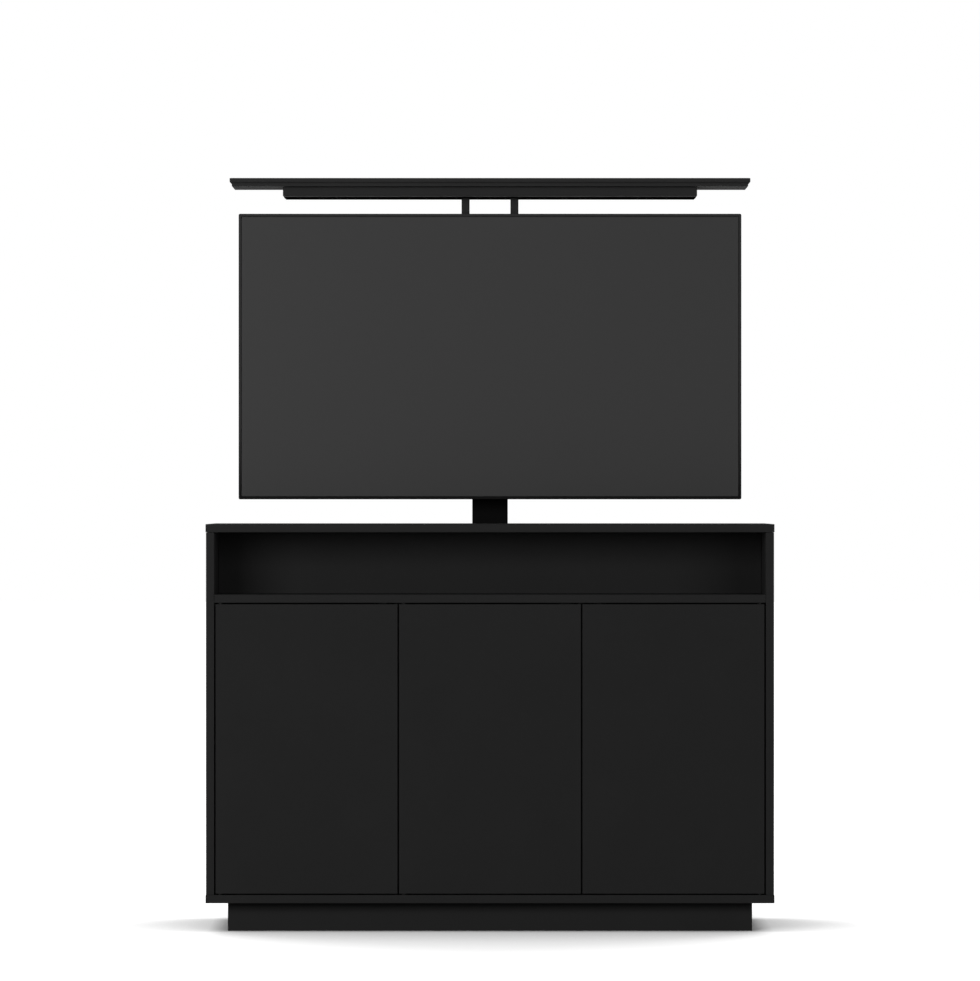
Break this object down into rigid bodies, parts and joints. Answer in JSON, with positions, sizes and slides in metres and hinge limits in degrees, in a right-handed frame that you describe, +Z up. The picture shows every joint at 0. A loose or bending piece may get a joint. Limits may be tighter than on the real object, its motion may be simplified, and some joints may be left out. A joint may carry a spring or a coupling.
{
  "type": "tv lift cabinet",
  "caption": "Low cabinet with flush doors under an open niche; a telescopic column raises a flat television and a rebated lid through a slot in the top.",
  "frame": {"origin": "on the floor, under the middle of the cabinet's width and depth", "axes": "+X to the right seen from the front, +Y to the back, +Z up; the doors face -Y"},
  "size_m": [1.25, 0.45, 1.67],
  "materials": {
    "black_laminate": "matte black laminated board with eased edges",
    "door_laminate": "matte black laminated door board",
    "plinth_laminate": "matte black laminated rail",
    "lid_laminate": "matte black laminated board, rebated under its edge",
    "black_steel": "black powder coat, fine texture",
    "post_steel": "dark grey powder coat",
    "motor_steel": "black painted motor can",
    "hinge_steel": "zinc plated steel",
    "bush_plastic": "moulded grey acetal",
    "latch_plastic": "moulded grey plastic",
    "black_plastic": "moulded black plastic, fine spark texture",
    "tv_cover_plastic": "moulded black plastic, fine spark texture",
    "tv_bezel_plastic": "satin black plastic",
    "screen_face": "dark grey screen, switched off, soft sheen"
  },
  "bodies": {
    "cabinet": {"bottom_board": "black_laminate", "top_board": "black_laminate", "side_left": "black_laminate", "side_right": "black_laminate", "bay_divider": "black_laminate", "niche_shelf": "black_laminate", "partition_left": "black_laminate", "partition_right": "black_laminate", "back_panel": "black_laminate", "shelf_left": "black_laminate", "shelf_middle": "black_laminate", "shelf_right": "black_laminate", "plinth_front": "plinth_laminate", "plinth_back": "plinth_laminate", "plinth_left": "plinth_laminate", "plinth_right": "plinth_laminate", "lift_base_plate": "black_steel", "outer_tube": "black_steel", "lift_motor": "motor_steel", "pivot_pin_lower_left": "hinge_steel", "pivot_pin_upper_left": "hinge_steel", "pivot_pin_lower_middle": "hinge_steel", "pivot_pin_upper_middle": "hinge_steel", "pivot_pin_lower_right": "hinge_steel", "pivot_pin_upper_right": "hinge_steel", "latch_housing_left": "latch_plastic", "latch_housing_middle": "latch_plastic", "latch_housing_right": "latch_plastic", "outer_collar": "black_plastic", "gearbox": "black_plastic", "control_box": "black_plastic", "cable_grommet": "black_plastic"},
    "middle_stage": {"middle_tube": "black_steel", "middle_collar": "black_plastic"},
    "lift_stage": {"inner_tube": "black_steel", "lift_head": "black_steel", "tv_rail_left": "black_steel", "tv_rail_right": "black_steel", "tv_bezel": "tv_bezel_plastic", "tv_screen": "screen_face", "tv_rear_cover": "tv_cover_plastic", "lid_post_left": "post_steel", "lid_post_right": "post_steel", "lid_carrier_plate": "black_steel", "lid_batten": "lid_laminate", "lid": "lid_laminate"},
    "door_left": {"door_left": "door_laminate", "pivot_bush_lower_left": "bush_plastic", "pivot_bush_upper_left": "bush_plastic"},
    "latch_left": {"latch_plunger_left": "latch_plastic"},
    "door_middle": {"door_middle": "door_laminate", "pivot_bush_lower_middle": "bush_plastic", "pivot_bush_upper_middle": "bush_plastic"},
    "latch_middle": {"latch_plunger_middle": "latch_plastic"},
    "door_right": {"door_right": "door_laminate", "pivot_bush_lower_right": "bush_plastic", "pivot_bush_upper_right": "bush_plastic"},
    "latch_right": {"latch_plunger_right": "latch_plastic"}
  },
  "joints": [
    {"name": "lift", "type": "slide", "parent": "cabinet", "child": "lift_stage", "axis": [0, 0, -1], "range_m": [0, 0.773]},
    {"name": "middle_stage_slide", "type": "slide", "parent": "cabinet", "child": "middle_stage", "axis": [0, 0, -1], "range_m": [0, 0.3865]},
    {"name": "door_left_hinge", "type": "hinge", "parent": "cabinet", "child": "door_left", "pos_m": [-0.593, -0.218, 0.403], "axis": [0, 0, -1], "range_deg": [0, 110]},
    {"name": "door_middle_hinge", "type": "hinge", "parent": "cabinet", "child": "door_middle", "pos_m": [-0.19, -0.218, 0.403], "axis": [0, 0, -1], "range_deg": [0, 110]},
    {"name": "door_right_hinge", "type": "hinge", "parent": "cabinet", "child": "door_right", "pos_m": [0.593, -0.218, 0.403], "axis": [0, 0, 1], "range_deg": [0, 110]},
    {"name": "latch_left_press", "type": "slide", "parent": "cabinet", "child": "latch_left", "axis": [0, 1, 0], "range_m": [0, 0.004], "stiffness_N_per_m": 500, "springref_m": -0.002},
    {"name": "latch_middle_press", "type": "slide", "parent": "cabinet", "child": "latch_middle", "axis": [0, 1, 0], "range_m": [0, 0.004], "stiffness_N_per_m": 500, "springref_m": -0.002},
    {"name": "latch_right_press", "type": "slide", "parent": "cabinet", "child": "latch_right", "axis": [0, 1, 0], "range_m": [0, 0.004], "stiffness_N_per_m": 500, "springref_m": -0.002}
  ],
  "couplings": [
    {"joint": "middle_stage_slide", "follows": "lift", "ratio": 0.5}
  ]
}
